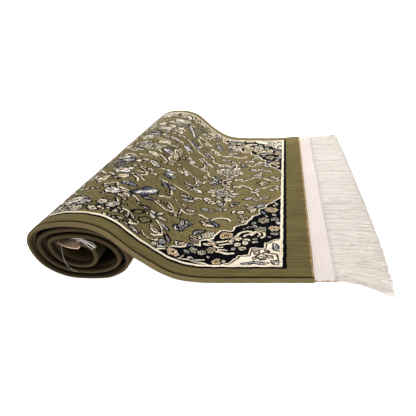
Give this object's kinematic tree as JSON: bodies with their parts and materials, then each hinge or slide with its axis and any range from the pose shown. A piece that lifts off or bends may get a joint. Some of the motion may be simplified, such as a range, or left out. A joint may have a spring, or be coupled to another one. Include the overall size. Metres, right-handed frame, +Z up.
{
  "type": "half-rolled prayer rug",
  "caption": "Half-rolled pile prayer rug: flat patterned end with a white tape and fringe, a slope over a loose roll, and overcast long edges.",
  "frame": {"origin": "middle of the underside of the rug's bounding box, on the floor", "axes": "+X along the rug's length, towards the open end's fringe; +Y across its width, away from the side shown nearest in the picture; +Z up"},
  "size_m": [0.4976, 0.7632, 0.0936],
  "materials": {
    "pile": "short cut pile, matt, olive ground with a cream, black, blue and tan floral pattern",
    "edge_yarn": "overcast olive yarn, matt with a slight sheen",
    "tape_and_fringe": "white ribbed cotton tape and combed yarn fringe, matt"
  },
  "bodies": {
    "root": {"rug_body": "pile", "edge_roll_near": "edge_yarn", "edge_roll_far": "edge_yarn", "fringe_open_end": "tape_and_fringe", "fringe_inner_end": "tape_and_fringe"}
  },
  "joints": []
}
